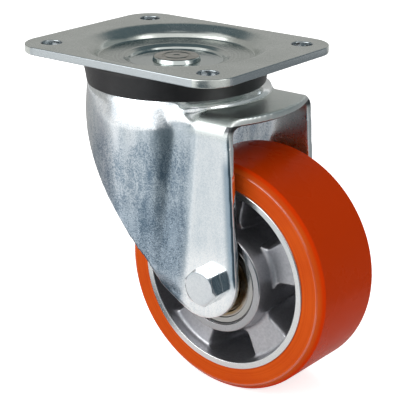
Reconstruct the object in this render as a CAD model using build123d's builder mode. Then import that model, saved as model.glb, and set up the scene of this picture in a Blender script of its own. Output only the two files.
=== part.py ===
from build123d import *
import os
from math import hypot, pi, radians, sin, sqrt, tan

# Swivel castor: a bolt-on top plate, a pressed fork that turns on two rows of balls, and
# a polyurethane-tyred aluminium wheel on two deep-groove ball bearings. Millimetres.
# Origin on the swivel axis at the plate's top face, +Z up, +X towards the trailing
# wheel, +Y along the axle. Left is the -Y side, where the axle bolt's head is.

# ---- wheel ----------------------------------------------------------------------
wheel_diameter = 125.0
wheel_width = 50.0
trail = 50.0  # axle behind the swivel axis
wheel_drop = 50.0  # plate's top face down to the top of the wheel
tyre_thickness = 12.2
tread_chamfer = 3.3
rim_proud = 0.5  # rim stands out of the tyre's side
rim_lip = 3.5  # rim's thickness at its edge
rim_draft = 0.5  # rim thickens by this much down to the web
hub_wall = 4.5  # round a bearing's outer ring, at the hub's end face
hub_draft = 1.5
hub_overhang = 5.0  # hub stands out of the tyre's side
hub_bore_step = 2.5  # shoulder that a bearing's outer ring seats on
hub_mouth_chamfer = 0.9
hub_root_chamfer = 1.0  # where the hub meets the web
web_half_width = 19.0
web_wall = 6.0  # metal left behind a pocket
pocket_count = 5
pocket_angle = 31.5
pocket_margin = 0.2  # web left beside hub and rim at a pocket's mouth
pocket_corner = 4.0
pocket_chamfer = 2.0  # round its mouth
first_pocket_angle = -13.0  # on the left side, from +X towards +Z

# ---- wheel bearings -------------------------------------------------------------
bearing_bore = 20.0
bearing_outside = 47.0
bearing_width = 14.0
bearing_recess = 1.0  # below the hub's end face
bearing_chamfer = 0.8
bearing_ball_diameter = 7.94
bearing_ball_count = 8
inner_shoulder_depth = 2.35  # inner ring's shoulder inside the ball circle
outer_shoulder_height = 2.45  # outer ring's shoulder outside it
cage_thickness = 1.9
cage_width = 10.8
cage_pocket_clearance = 0.25
shield_step = 1.1  # shield's edge outside the outer ring's shoulder
shield_thickness = 0.5
shield_recess = 0.6
shield_clearance = 0.4  # to the inner ring

# ---- axle -----------------------------------------------------------------------
bolt_diameter = 12.0
bolt_hole_clearance = 0.2
bolt_head_height = 7.5
bolt_tip = 2.5  # past the nut
bolt_tip_chamfer = 1.2
hex_across_flats = 18.0
hex_face_inset = 0.4  # of the round end face inside the flats
hex_chamfer_angle = 30.0
head_vertex_angle = 45.0
nut_vertex_angle = 20.0
nut_hex_height = 9.0
nut_collar_height = 3.0
nut_collar_radius = 8.4
nut_insert_radius = 7.6
nut_insert_height = 2.6
nut_lip_height = 0.4  # crimped over the insert
nut_lip_radius = 7.0
axle_tube_clearance = 0.15  # round the bolt
spacer_radius = 14.0
hub_side_gap = 1.9  # hub's end face to the fork leg

# ---- top plate ------------------------------------------------------------------
plate_length = 135.0
plate_width = 110.0
plate_thickness = 4.25
plate_corner_radius = 17.0
plate_edge_chamfer = 0.4
bolt_margin = 15.0  # mounting hole's centre to the plate's edges
mount_hole_radius = 5.5
mount_hole_chamfer = 0.5
dish_rim_radius = 49.0
dish_floor_radius = 41.0
dish_floor_depth = 6.5
dish_step_outer_radius = 28.5
dish_step_inner_radius = 24.5
dish_centre_depth = 9.0
dish_bend = 3.0  # inside radius that the dish's corners are broken to

# ---- king pin, ball races and cup ------------------------------------------------
pin_radius = 8.0
pin_head_radius = 13.0
pin_head_height = 2.6
pin_head_chamfer = 1.4
peened_radius = 10.3
peened_height = 4.5
peened_chamfer = 1.5
upper_ball_diameter = 7.94
upper_ball_pitch = 36.5  # radius of the ball row
upper_ball_gap = 6.15  # plate's underside to the crown
lower_ball_diameter = 6.35
lower_ball_pitch = 23.0
lower_ball_gap = 4.8  # crown's underside to the cup
ball_spacing = 1.02  # centre distance over the diameter
race_half_angle = 60.0  # of the V-shaped races
cup_thickness = 3.0
cup_hat_radius = 14.0
cup_rim_radius = 30.0
crown_hole_clearance = 1.5

# ---- fork -----------------------------------------------------------------------
fork_sheet = 4.5
crown_radius = 47.6
crown_edge_chamfer = 2.4
roof_drop = 6.6  # crown's top face down to the roof behind it
roof_bend = 9.0  # outside radius between roof and legs
neck_angle = 36.5  # of the slope between crown and roof, off the vertical
shoulder_drop = 17.1  # crown's top face down to the skirt's shoulder
skirt_bulge_top = 2.8  # skirt beyond the cheeks' planes, at the shoulder
skirt_bulge_foot = 0.8  # and where the cheeks end
skirt_centre_x = 1.2
flare_angle = 17.0  # of the cheek between the flat leg and the skirt
leg_front_offset = 7.5  # flat leg's front border ahead of the axle, at the shoulder
leg_front_slope = 0.0917
crease_radius_top = 1.0
crease_radius_foot = 12.0
leg_rear_lean = 3.6  # degrees, legs' rear edges off the vertical
roof_bulge = 8.0  # roof's rear edge behind the legs' rear edges
boss_radius = 22.8
boss_ahead = 5.4  # boss centre ahead of the axle
boss_above = 2.6
relief_below_axle = 6.5  # where the cheek has blended into the flat leg
relief_rise = 1.5625  # height of that blend over its width
relief_span = 10.0
relief_bend = 12.0
lower_edge_slope = 1.264  # long slanting edge ahead of the wheel, drop over run
lower_edge_ahead = 34.0  # its foot ahead of the axle
lower_edge_above = 4.8
front_edge_rise = 67.7  # its head above its foot
front_edge_slope = 0.213
front_edge_bend = 40.0
lower_edge_bend = 8.0
foot_edge_angle = 30.0
foot_corner_ahead = 32.7
foot_edge_bend = 9.0

# ---- dust seal ------------------------------------------------------------------
seal_wall = 3.6
seal_waist = 0.8
seal_waist_height = 5.3
seal_flare = 1.9
seal_lip_height = 11.3
seal_plate_gap = 0.35

# ---- clearances -----------------------------------------------------------------
ball_clearance = 0.03
fit = 0.02  # between pieces that are pressed or clamped together

# ---- derived places -------------------------------------------------------------
wheel_radius = wheel_diameter / 2
axle_x = trail
axle_z = -(wheel_drop + wheel_radius)
axle = Axis((axle_x, 0, axle_z), (0, 1, 0))
rim_radius = wheel_radius - tyre_thickness
rim_half_width = wheel_width / 2 + rim_proud
hub_half_length = wheel_width / 2 + hub_overhang
hub_radius = bearing_outside / 2 + hub_wall
bearing_middle = hub_half_length - bearing_recess - bearing_width / 2
bearing_ball_pitch = (bearing_bore + bearing_outside) / 4
inner_ring_shoulder = bearing_ball_pitch - inner_shoulder_depth
outer_ring_shoulder = bearing_ball_pitch + outer_shoulder_height
shield_radius = outer_ring_shoulder + shield_step
leg_inner = hub_half_length + hub_side_gap
leg_outer = leg_inner + fork_sheet

dish_floor_under = -(dish_floor_depth + plate_thickness)
dish_centre_under = -(dish_centre_depth + plate_thickness)
pin_seat = dish_centre_under - cup_thickness
crown_top = dish_floor_under - upper_ball_gap
crown_under = crown_top - fork_sheet
crown_shoulder = crown_top - crown_edge_chamfer
cup_race_top = crown_under - lower_ball_gap
roof_top = crown_top - roof_drop
shoulder = crown_top - shoulder_drop
upper_ball_z = (dish_floor_under + crown_top) / 2
lower_ball_z = (crown_under + cup_race_top) / 2

boss_x = axle_x - boss_ahead
boss_z = axle_z + boss_above
relief_z = axle_z - relief_below_axle
skirt_foot = relief_z + relief_span * relief_rise
fork_foot = boss_z - boss_radius - fork_sheet  # a little below the fork


# ---- helpers --------------------------------------------------------------------
def parallel(points, distance):
    """Mitred line at a distance to the left of an open line of (x, y) points."""
    normals = []
    for (x0, y0), (x1, y1) in zip(points, points[1:]):
        run = hypot(x1 - x0, y1 - y0)
        normals.append(((y0 - y1) / run, (x1 - x0) / run))
    moved = []
    for (x, y), a, b in zip(points, normals[:1] + normals, normals + normals[-1:]):
        scale = distance / (1 + a[0] * b[0] + a[1] * b[1])
        moved.append((x + (a[0] + b[0]) * scale, y + (a[1] + b[1]) * scale))
    return moved


def broken(points, radii):
    """Open line of (x, y) points, each inner corner cut off where a bend of its radius starts."""
    line = [points[0]]
    for before, corner, after, radius in zip(points, points[1:], points[2:], radii):
        arrive = (Vector(*corner) - Vector(*before)).normalized()
        leave = (Vector(*after) - Vector(*corner)).normalized()
        setback = radius * tan(radians(arrive.get_angle(leave) / 2))
        line += [Vector(*corner) - arrive * setback, Vector(*corner) + leave * setback]
    return line + [points[-1]]


def race_profile(pitch, ball_z, diameter, side):
    """V of a ball race, open towards the balls; side is 1 above them and -1 below."""
    apex = (diameter / 2 + ball_clearance) / sin(radians(race_half_angle))
    reach = apex * tan(radians(race_half_angle))
    return [(pitch - reach, ball_z), (pitch, ball_z + side * apex), (pitch + reach, ball_z)]


def facet_ball(diameter):
    """Bearing ball drawn with 26 flats, its corners on the true sphere."""
    half_flat = diameter / 2 / sqrt(2 + (1 + sqrt(2)) ** 2)
    half_cube = half_flat * (1 + sqrt(2))
    with BuildPart() as ball:
        Box(2 * half_cube, 2 * half_cube, 2 * half_cube)
        chamfer(ball.edges(), length=half_cube - half_flat)
    return ball.part


def full_row(pitch, diameter):
    """How many balls fill a swivel race."""
    return int(2 * pi * pitch / (diameter * ball_spacing))


def ball_row(plane, pitch, diameter, count):
    """Balls evenly round the origin of a plane."""
    with BuildPart() as row:
        with Locations(plane.location):
            with PolarLocations(pitch, count):
                add(facet_ball(diameter))
    return row


def turned_on_axle(points):
    """Solid of revolution about the axle, from (radius, y) points."""
    with BuildPart() as turned:
        with BuildSketch(Plane.XY.offset(axle_z)):
            with BuildLine():
                Polyline(*[(axle_x + radius, y) for radius, y in points], close=True)
            make_face()
        revolve(axis=axle)
    return turned


def finish(builder, label):
    """Label a finished piece and write it."""
    builder.part.label = label
    export_step(builder.part, f"parts/{label}.step")


os.makedirs("parts", exist_ok=True)


# ---- top plate: a pressed blank, dished at the swivel and trimmed to its outline --
blank_radius = hypot(plate_length, plate_width) / 2 + 1
outside_bend = dish_bend + plate_thickness
dish_line = [
    (blank_radius, 0),
    (dish_rim_radius, 0),
    (dish_floor_radius, -dish_floor_depth),
    (dish_step_outer_radius, -dish_floor_depth),
    (dish_step_inner_radius, -dish_centre_depth),
    (pin_radius + fit, -dish_centre_depth),
]
dish_under = parallel(dish_line, plate_thickness)

with BuildPart() as top_plate:
    with BuildSketch(Plane.XZ):
        with BuildLine():
            upper = broken(dish_line, [outside_bend, dish_bend] * 2)
            Polyline(*upper, *reversed(dish_under), close=True)
        make_face()
    revolve(axis=Axis.Z)
    with BuildSketch(Plane.XY.offset(2 * dish_centre_under)):
        RectangleRounded(plate_length, plate_width, plate_corner_radius)
        with GridLocations(plate_length - 2 * bolt_margin, plate_width - 2 * bolt_margin, 2, 2):
            Circle(mount_hole_radius, mode=Mode.SUBTRACT)
    extrude(amount=-4 * dish_centre_under, mode=Mode.INTERSECT)
    top_face = top_plate.faces().filter_by(Plane.XY).sort_by(Axis.Z)[-1]
    hole_edges = top_face.edges().filter_by(
        lambda edge: edge.geom_type == GeomType.CIRCLE and edge.radius == mount_hole_radius
    )
    chamfer(hole_edges, mount_hole_chamfer)
    top_face = top_plate.faces().filter_by(Plane.XY).sort_by(Axis.Z)[-1]
    chamfer(top_face.outer_wire().edges(), plate_edge_chamfer)
    with BuildSketch(Plane.XZ):
        with BuildLine():
            Polyline(*race_profile(upper_ball_pitch, upper_ball_z, upper_ball_diameter, 1), close=True)
        make_face()
    revolve(axis=Axis.Z, mode=Mode.SUBTRACT)
finish(top_plate, "top_plate")


# ---- lower race cup: a pressed hat that hangs from the plate through the crown ----
cup_line = [
    (cup_rim_radius, cup_race_top),
    (cup_hat_radius, cup_race_top),
    (cup_hat_radius, dish_centre_under),
    (pin_radius + fit, dish_centre_under),
]
cup_under = parallel(cup_line, cup_thickness)

with BuildPart() as lower_race_cup:
    with BuildSketch(Plane.XZ):
        with BuildLine():
            Polyline(*cup_line, *reversed(cup_under), close=True)
        make_face()
        with BuildLine():
            Polyline(*race_profile(lower_ball_pitch, lower_ball_z, lower_ball_diameter, -1), close=True)
        make_face(mode=Mode.SUBTRACT)
    revolve(axis=Axis.Z)
finish(lower_race_cup, "lower_race_cup")


# ---- king pin: a rivet through plate and cup, headed above and peened below -------
pin_top = pin_head_height - dish_centre_depth
with BuildPart() as king_pin:
    with BuildSketch(Plane.XZ):
        with BuildLine():
            Polyline(
                (0, pin_top),
                (pin_head_radius - pin_head_chamfer, pin_top),
                (pin_head_radius, pin_top - pin_head_chamfer),
                (pin_head_radius, -dish_centre_depth),
                (pin_radius, -dish_centre_depth),
                (pin_radius, pin_seat),
                (peened_radius, pin_seat),
                (peened_radius, pin_seat - peened_height + peened_chamfer),
                (peened_radius - peened_chamfer, pin_seat - peened_height),
                (0, pin_seat - peened_height),
                close=True,
            )
        make_face()
    revolve(axis=Axis.Z)
finish(king_pin, "king_pin")


# ---- swivel balls -----------------------------------------------------------------
upper_balls = ball_row(
    Plane.XY.offset(upper_ball_z),
    upper_ball_pitch,
    upper_ball_diameter,
    full_row(upper_ball_pitch, upper_ball_diameter),
)
finish(upper_balls, "upper_balls")

lower_balls = ball_row(
    Plane.XY.offset(lower_ball_z),
    lower_ball_pitch,
    lower_ball_diameter,
    full_row(lower_ball_pitch, lower_ball_diameter),
)
finish(lower_balls, "lower_balls")


# ---- dust seal: a ring on the crown's edge that flares out under the plate ---------
def under_dish(radius):
    """Height of the seal's top, just clear of the dish's sloping underside."""
    (r0, z0), (r1, z1) = dish_under[1:3]
    slope = (z1 - z0) / (r1 - r0)
    return z0 + slope * (radius - r0) - seal_plate_gap * hypot(1, slope)


seal_inner = crown_radius - seal_wall
seal_outer = crown_radius + seal_flare
seat_gap = fit * sqrt(2)  # fit across the crown's chamfer, measured along X or Z

with BuildPart() as dust_seal:
    with BuildSketch(Plane.XZ):
        with BuildLine():
            Polyline(
                (crown_radius, crown_shoulder + seat_gap),
                (crown_radius + seal_waist, crown_shoulder + seal_waist_height),
                (seal_outer, crown_shoulder + seal_lip_height),
                (seal_outer, under_dish(seal_outer)),
                (seal_inner, under_dish(seal_inner)),
                (seal_inner, crown_top + fit),
                (crown_radius - crown_edge_chamfer, crown_top + seat_gap),
                close=True,
            )
        make_face()
    revolve(axis=Axis.Z)
finish(dust_seal, "dust_seal")


# ---- fork: one pressed sheet, the space between a form and the same form inset -----
def leg_border(level, inset):
    """Distance behind the swivel axis where the flat leg turns into the cheek."""
    border = axle_x - leg_front_offset + (level - shoulder) * leg_front_slope
    return border - inset * tan(radians(flare_angle / 2))


def cheek_distance(level, inset):
    """Distance from the skirt's centre line square to a cheek's plane."""
    run = leg_border(level, inset) - skirt_centre_x
    return (leg_outer - inset + run * tan(radians(flare_angle))) * sin(radians(90 - flare_angle))


def leg_corners(level, inset):
    """Plan of both legs at one level, to where their cheeks run inside the skirt."""
    half = leg_outer - inset
    nearest = Vector(0, cheek_distance(level, inset)).rotate(Axis.Z, -flare_angle)
    side = [
        (2 * axle_x, half),
        (leg_border(level, inset), half),
        (skirt_centre_x + nearest.X, nearest.Y),
    ]
    return side + [(x, -y) for x, y in reversed(side)]


def skirt_plan(level, inset, crease_radius):
    """Plan of the skirt and both legs at one level, with softened creases."""
    corners = leg_corners(level, inset)
    with BuildSketch(Plane.XY.offset(level)) as plan:
        with Locations((skirt_centre_x, 0)):
            fall = (shoulder - level) / (shoulder - skirt_foot)
            bulge = skirt_bulge_top + (skirt_bulge_foot - skirt_bulge_top) * fall
            Circle(cheek_distance(level, 0.0) + bulge - inset)
        Polygon(*corners, align=None)
        rear = 2 * axle_x
        fillet(plan.vertices().filter_by(lambda v: v.X < rear - 1), crease_radius + inset)
    return plan.sketch


def leg_block(inset):
    """Solid block from one leg's face to the other's, from the shoulder up to the roof."""
    with BuildPart() as block:
        with BuildSketch(Plane.XY.offset(shoulder)):
            Polygon(*leg_corners(shoulder, inset), align=None)
        extrude(amount=roof_top - inset - shoulder)
        roof_edges = block.edges().group_by(Axis.Z)[-1]
        fillet(roof_edges.filter_by(lambda edge: abs(edge.center().Y) > 1), roof_bend - inset)
    return block.part


def fork_form(inset):
    """The fork's outer form drawn in by a distance, open behind and below."""
    half = leg_outer - inset
    head_shoulder = min(crown_shoulder, crown_top - inset)
    relief_top = relief_z + inset * (hypot(1, relief_rise) - relief_rise)
    far = 2 * crown_radius
    foot_plan = skirt_plan(skirt_foot, inset, crease_radius_foot)
    shoulder_plan = skirt_plan(shoulder, inset, crease_radius_top)
    with BuildPart() as form:
        add(leg_block(inset))
        loft([foot_plan, shoulder_plan], ruled=True)
        extrude(foot_plan, amount=fork_foot - inset - skirt_foot)
        with BuildSketch(Plane.XY.offset(shoulder)):
            with Locations((skirt_centre_x, 0)):
                Circle(cheek_distance(shoulder, 0.0) + skirt_bulge_top - inset)
        with BuildSketch(Plane.XY.offset(head_shoulder)):
            Circle(crown_radius - inset)
        loft(ruled=True)
        with BuildSketch(Plane.YZ):
            for side in (1, -1):
                with BuildLine():
                    FilletPolyline(
                        (side * half, fork_foot - 2 * inset),
                        (side * half, relief_top),
                        (side * (half + far), relief_top + far * relief_rise),
                        (side * (half + far), fork_foot - 2 * inset),
                        radius=[relief_bend + inset, 0],
                        close=False,
                    )
                    Line((side * half, fork_foot - 2 * inset), (side * (half + far), fork_foot - 2 * inset))
                make_face()
        extrude(amount=far, both=True, mode=Mode.SUBTRACT)
    return form.part


slant_foot = Vector(axle_x - lower_edge_ahead, axle_z + lower_edge_above)
slant_head = slant_foot + Vector(-front_edge_rise / lower_edge_slope, front_edge_rise)
front_reach = 2 * crown_radius
front_edge = slant_head + Vector(-front_reach, front_reach * front_edge_slope)
boss_start = Vector(boss_x, boss_z) + Vector(0, -boss_radius).rotate(Axis.Z, -foot_edge_angle)
foot_corner_x = axle_x - foot_corner_ahead
foot_rise = (boss_start.X - foot_corner_x) * tan(radians(foot_edge_angle))
foot_corner = Vector(foot_corner_x, boss_start.Y + foot_rise)
bend_foot = roof_top - roof_bend
far_rear = 3 * axle_x
above = fork_sheet

with BuildPart() as neck:
    with BuildSketch(Plane.XZ):
        with BuildLine():
            neck_foot = crown_radius + (crown_shoulder - shoulder) * tan(radians(neck_angle))
            Polyline((0, crown_shoulder), (crown_radius, crown_shoulder), (neck_foot, shoulder),
                     (0, shoulder), close=True)
        make_face()
    revolve(axis=Axis.Z)
    with Locations((0, 0, crown_shoulder - roof_top)):
        add(leg_block(0.0), mode=Mode.INTERSECT)

with BuildPart() as fork:
    add(fork_form(0.0))
    with BuildSketch(Plane.XY.offset(crown_shoulder)):
        Circle(crown_radius)
    with BuildSketch(Plane.XY.offset(crown_top)):
        Circle(crown_radius - crown_edge_chamfer)
    loft(ruled=True)
    add(neck.part)
    add(fork_form(fork_sheet), mode=Mode.SUBTRACT)
    with BuildSketch(Plane.XZ):
        with BuildLine():
            lower_edge = FilletPolyline(
                front_edge, slant_head, slant_foot, foot_corner, boss_start,
                radius=[front_edge_bend, lower_edge_bend, foot_edge_bend],
            )
            boss = CenterArc((boss_x, boss_z), boss_radius, -90 - foot_edge_angle,
                             90 + foot_edge_angle + leg_rear_lean)
            leg_rise = bend_foot - (boss @ 1).Y
            rear_top = boss @ 1 + Vector(-leg_rise * tan(radians(leg_rear_lean)), leg_rise)
            Polyline(boss @ 1, rear_top, (far_rear, bend_foot), (far_rear, above),
                     (lower_edge @ 0).X * Vector(1, 0) + Vector(0, above), lower_edge @ 0)
        make_face()
    extrude(amount=far_rear, both=True, mode=Mode.INTERSECT)
    with BuildSketch(Plane.XY.offset(bend_foot)):
        with BuildLine():
            ThreePointArc((rear_top.X, leg_inner), (rear_top.X + roof_bulge, 0),
                          (rear_top.X, -leg_inner))
            Polyline((rear_top.X, -leg_inner), (rear_top.X, -far_rear), (far_rear, -far_rear),
                     (far_rear, far_rear), (rear_top.X, far_rear), (rear_top.X, leg_inner))
        make_face()
    extrude(amount=above - bend_foot, mode=Mode.SUBTRACT)
    with BuildSketch(Plane.XZ):
        with Locations((axle_x, axle_z)):
            Circle(bolt_diameter / 2 + bolt_hole_clearance)
    extrude(amount=far_rear, both=True, mode=Mode.SUBTRACT)
    with BuildSketch(Plane.XZ):
        with BuildLine():
            Polyline(*race_profile(upper_ball_pitch, upper_ball_z, upper_ball_diameter, -1), close=True)
        make_face()
        with BuildLine():
            Polyline(*race_profile(lower_ball_pitch, lower_ball_z, lower_ball_diameter, 1), close=True)
        make_face()
        with Locations((0, crown_under)):
            Rectangle(cup_hat_radius + crown_hole_clearance, 2 * fork_sheet, align=(Align.MIN, Align.CENTER))
    revolve(axis=Axis.Z, mode=Mode.SUBTRACT)
finish(fork, "fork")


# ---- axle bolt, nut and the sleeves clamped between the legs -----------------------
def across_axle(y, toward):
    """Plane across the axle at y, facing towards -Y (-1) or +Y (1)."""
    return Plane(origin=(axle_x, y, axle_z), x_dir=(1, 0, 0), z_dir=(0, toward, 0))


def hexagon(base, tip, vertex_angle):
    """Hexagon on the axle from y=base to y=tip, chamfered round its tip."""
    toward = 1 if tip > base else -1
    corner = hex_across_flats / sqrt(3)
    face = hex_across_flats / 2 - hex_face_inset
    drop = (corner - face) * tan(radians(hex_chamfer_angle)) * toward
    with BuildPart() as prism:
        with BuildSketch(across_axle(base, toward)):
            RegularPolygon(hex_across_flats / 2, 6, major_radius=False, rotation=vertex_angle)
        extrude(amount=abs(tip - base))
        envelope = turned_on_axle([(0, base), (corner, base), (corner, tip - drop), (face, tip), (0, tip)])
        add(envelope.part, mode=Mode.INTERSECT)
    return prism.part


bolt_radius = bolt_diameter / 2
nut_seat = leg_outer + fit
nut_end = nut_seat + nut_hex_height + nut_collar_height

with BuildPart() as axle_bolt:
    add(hexagon(-leg_outer - fit, -leg_outer - fit - bolt_head_height, head_vertex_angle))
    with BuildSketch(across_axle(-leg_outer - fit, 1)):
        Circle(bolt_radius)
    extrude(amount=leg_outer + fit + nut_end + bolt_tip)
    chamfer(axle_bolt.edges().sort_by(Axis.Y)[-1], bolt_tip_chamfer)
finish(axle_bolt, "axle_bolt")

with BuildPart() as axle_nut:
    add(hexagon(nut_seat, nut_seat + nut_hex_height, nut_vertex_angle))
    with BuildSketch(across_axle(nut_seat + nut_hex_height, 1)):
        Circle(nut_collar_radius)
    extrude(amount=nut_collar_height)
    with BuildSketch(across_axle(nut_seat, 1)):
        Circle(bolt_radius + fit)
    extrude(amount=nut_end - nut_seat, mode=Mode.SUBTRACT)
    with BuildSketch(across_axle(nut_end, -1)):
        Circle(nut_lip_radius)
    extrude(amount=nut_lip_height, mode=Mode.SUBTRACT)
    with BuildSketch(across_axle(nut_end - nut_lip_height, -1)):
        Circle(nut_insert_radius + fit)
    extrude(amount=nut_insert_height + fit, mode=Mode.SUBTRACT)
finish(axle_nut, "axle_nut")


def sleeve(inner_radius, outer_radius, start, end):
    """Plain ring on the axle between two y values."""
    return turned_on_axle(
        [(inner_radius, start), (outer_radius, start), (outer_radius, end), (inner_radius, end)]
    )


insert_end = nut_end - nut_lip_height
nut_insert = sleeve(bolt_radius + fit, nut_insert_radius, insert_end - nut_insert_height, insert_end - fit)
finish(nut_insert, "nut_insert")

tube_radius = bearing_bore / 2
tube_end = leg_inner - fit
axle_tube = sleeve(bolt_radius + axle_tube_clearance, tube_radius, -tube_end, tube_end)
finish(axle_tube, "axle_tube")


# ---- wheel bearings, one a side -----------------------------------------------------
half_bearing = bearing_width / 2
groove_reach = (bearing_ball_diameter / 2 + ball_clearance) / sin(radians(race_half_angle))
groove_slope = tan(radians(race_half_angle))
inner_groove = bearing_ball_pitch - groove_reach
outer_groove = bearing_ball_pitch + groove_reach
inner_groove_half = (inner_ring_shoulder - inner_groove) * groove_slope
outer_groove_half = (outer_groove - outer_ring_shoulder) * groove_slope
shield_seat = half_bearing - shield_recess - shield_thickness
outer_ring_radius = bearing_outside / 2
cage_pocket = bearing_ball_diameter + 2 * cage_pocket_clearance
bolt_side_names = {-1: "left", 1: "right"}

for side, name in bolt_side_names.items():
    middle = side * bearing_middle

    inner_ring = turned_on_axle(
        [
            (tube_radius + fit, middle - half_bearing),
            (inner_ring_shoulder, middle - half_bearing),
            (inner_ring_shoulder, middle - inner_groove_half),
            (inner_groove, middle),
            (inner_ring_shoulder, middle + inner_groove_half),
            (inner_ring_shoulder, middle + half_bearing),
            (tube_radius + fit, middle + half_bearing),
        ]
    )
    finish(inner_ring, f"inner_ring_{name}")

    outer_ring = turned_on_axle(
        [
            (outer_ring_shoulder, middle - side * half_bearing),
            (outer_ring_radius, middle - side * half_bearing),
            (outer_ring_radius, middle + side * (half_bearing - bearing_chamfer)),
            (outer_ring_radius - bearing_chamfer, middle + side * half_bearing),
            (shield_radius + fit, middle + side * half_bearing),
            (shield_radius + fit, middle + side * (shield_seat - fit)),
            (outer_ring_shoulder, middle + side * (shield_seat - fit)),
            (outer_ring_shoulder, middle + side * outer_groove_half),
            (outer_groove, middle),
            (outer_ring_shoulder, middle - side * outer_groove_half),
        ]
    )
    finish(outer_ring, f"outer_ring_{name}")

    shield = sleeve(
        inner_ring_shoulder + shield_clearance,
        shield_radius,
        middle + side * shield_seat,
        middle + side * (shield_seat + shield_thickness),
    )
    finish(shield, f"bearing_shield_{name}")

    bearing_balls = ball_row(
        across_axle(middle, -1), bearing_ball_pitch, bearing_ball_diameter, bearing_ball_count
    )
    finish(bearing_balls, f"bearing_balls_{name}")

    with BuildPart() as ball_cage:
        with BuildSketch(across_axle(middle, -1)):
            Circle(bearing_ball_pitch + cage_thickness / 2)
            Circle(bearing_ball_pitch - cage_thickness / 2, mode=Mode.SUBTRACT)
        extrude(amount=cage_width / 2, both=True)
        with BuildSketch(across_axle(middle, -1)):
            with PolarLocations(bearing_ball_pitch, bearing_ball_count):
                Rectangle(2 * cage_thickness, cage_pocket)
        extrude(amount=cage_pocket / 2, both=True, mode=Mode.SUBTRACT)
    finish(ball_cage, f"ball_cage_{name}")

    spacer = sleeve(
        tube_radius + fit,
        spacer_radius,
        side * (bearing_middle + half_bearing + fit),
        side * tube_end,
    )
    finish(spacer, f"spacer_{name}")


# ---- wheel centre: a die-cast hub, rim and corrugated web ----------------------------
seat_radius = outer_ring_radius + fit
seat_depth = hub_half_length - bearing_recess - bearing_width - fit
rim_inner = rim_radius - rim_lip
half_section = [
    (seat_radius - hub_bore_step, seat_depth),
    (seat_radius, seat_depth),
    (seat_radius, hub_half_length - hub_mouth_chamfer),
    (seat_radius + hub_mouth_chamfer, hub_half_length),
    (hub_radius, hub_half_length),
    (hub_radius + hub_draft, web_half_width + hub_root_chamfer),
    (hub_radius + hub_draft + hub_root_chamfer, web_half_width),
    (rim_inner - rim_draft, web_half_width),
    (rim_inner, rim_half_width),
    (rim_radius, rim_half_width),
]


pocket_inner = hub_radius + hub_draft + hub_root_chamfer + pocket_margin + pocket_chamfer
pocket_outer = rim_inner - rim_draft - pocket_margin - pocket_chamfer
pocket_reach = 2 * pocket_outer
pocket_spread = pocket_reach * tan(radians(pocket_angle / 2))
with BuildPart() as pocket:
    with BuildSketch() as pocket_plan:
        Circle(pocket_outer)
        Circle(pocket_inner, mode=Mode.SUBTRACT)
        Polygon((0, 0), (pocket_reach, -pocket_spread), (pocket_reach, pocket_spread),
                align=None, mode=Mode.INTERSECT)
        fillet(pocket_plan.vertices(), min(pocket_corner, (pocket_outer - pocket_inner) / 3))
    extrude(amount=web_wall - 2 * web_half_width)

with BuildPart() as wheel_centre:
    add(turned_on_axle(half_section + [(r, -y) for r, y in reversed(half_section)]).part)
    with Locations(across_axle(-web_half_width, -1).location):
        with PolarLocations(0, pocket_count, start_angle=first_pocket_angle):
            add(pocket.part, mode=Mode.SUBTRACT)
    with Locations(across_axle(web_half_width, 1).location):
        with PolarLocations(0, pocket_count, start_angle=180 / pocket_count - first_pocket_angle):
            add(pocket.part, mode=Mode.SUBTRACT)
    web_faces = wheel_centre.faces().filter_by(Axis.Y).sort_by(SortBy.AREA)[-2:]
    openings = [wire for face in web_faces for wire in face.inner_wires()]
    pocket_mouths = [wire for wire in openings if len(wire.edges()) > 1]
    chamfer([edge for mouth in pocket_mouths for edge in mouth.edges()], pocket_chamfer)
finish(wheel_centre, "wheel_centre")


# ---- tyre ----------------------------------------------------------------------------
tread_half = wheel_width / 2
tread_edge = wheel_radius - tread_chamfer
tyre = turned_on_axle(
    [
        (rim_radius + fit, -tread_half),
        (tread_edge, -tread_half),
        (wheel_radius, tread_chamfer - tread_half),
        (wheel_radius, tread_half - tread_chamfer),
        (tread_edge, tread_half),
        (rim_radius + fit, tread_half),
    ]
)
finish(tyre, "tyre")
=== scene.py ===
from math import acos, ceil, cos, hypot, pi, radians, sin, sqrt, tan

import bmesh
import bpy
import numpy as np
from mathutils import Matrix, Vector


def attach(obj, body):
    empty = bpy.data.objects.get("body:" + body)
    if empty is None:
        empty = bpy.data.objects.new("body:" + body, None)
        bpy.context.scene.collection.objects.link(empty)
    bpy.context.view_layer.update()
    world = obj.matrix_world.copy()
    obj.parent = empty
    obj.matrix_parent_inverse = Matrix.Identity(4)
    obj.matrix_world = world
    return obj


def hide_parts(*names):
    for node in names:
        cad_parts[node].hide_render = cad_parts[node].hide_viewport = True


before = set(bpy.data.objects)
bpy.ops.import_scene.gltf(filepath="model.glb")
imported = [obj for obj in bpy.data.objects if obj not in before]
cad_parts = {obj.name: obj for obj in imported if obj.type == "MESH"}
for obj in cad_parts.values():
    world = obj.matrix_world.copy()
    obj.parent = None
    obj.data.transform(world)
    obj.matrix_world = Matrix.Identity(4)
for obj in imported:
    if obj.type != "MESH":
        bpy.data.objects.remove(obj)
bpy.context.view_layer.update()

# Lengths below are millimetres in the row frame, scaled by MM on the way in, unless a comment says metres.
MM = 0.001
AXLE = (50.0, -112.5)  # x and z of the axle
FLOOR = -175.0

PLATE_SHEET = 4.25
PLATE_HALF = (67.5, 55.0)
PLATE_CORNER = 17.0
HOLE_AT = (52.5, 40.0)
HOLE_RADIUS = 5.5
# Radii and z of the dish's upper face in the CAD, from the flat inwards.
DISH = [(53.2, 0.0), (49.0, 0.0), (41.0, -6.5), (28.5, -6.5), (24.5, -9.0), (8.02, -9.0)]

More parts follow.
